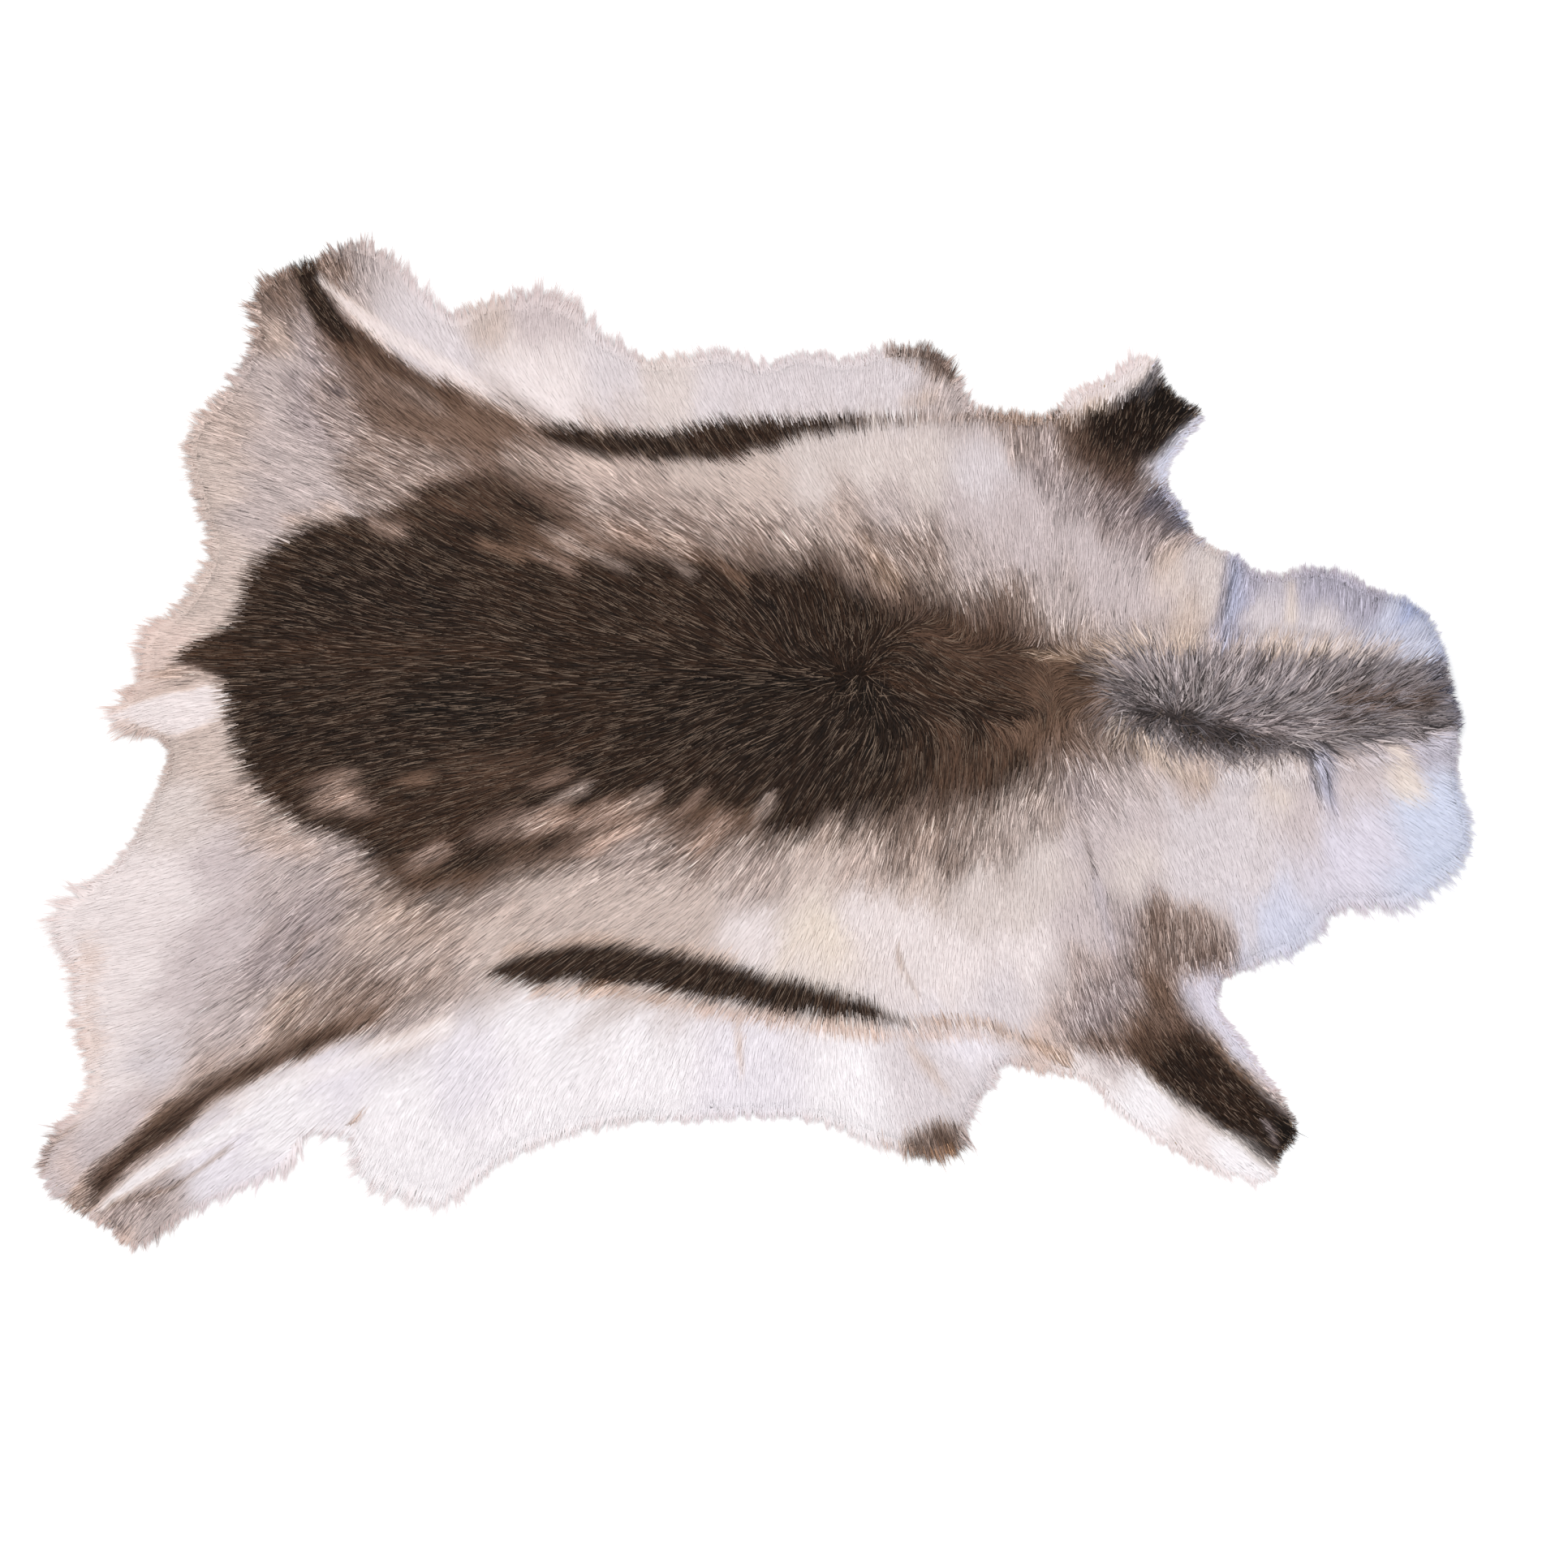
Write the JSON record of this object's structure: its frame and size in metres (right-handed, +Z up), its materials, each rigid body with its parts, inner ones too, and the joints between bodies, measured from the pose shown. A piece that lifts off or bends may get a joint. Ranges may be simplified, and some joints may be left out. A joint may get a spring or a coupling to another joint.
{
  "type": "reindeer hide saddle pad",
  "caption": "Whole tanned reindeer hide with its coat on, laid flat fur side up, used as a pad under a saddle or as a seat cover.",
  "frame": {"origin": "on the surface the hide lies on, under the middle of its box", "axes": "+X towards the neck end, along the hide's length; +Y towards the legs of the animal's left side; +Z up through the coat"},
  "size_m": [1.3026, 0.9134, 0.0321],
  "materials": {
    "coat": "dense matte hair with a soft sheen, cream, fawn and dark brown",
    "skin_side": "matte suede-like tanned leather"
  },
  "bodies": {
    "root": {"reindeer_hide": "coat"}
  },
  "joints": []
}
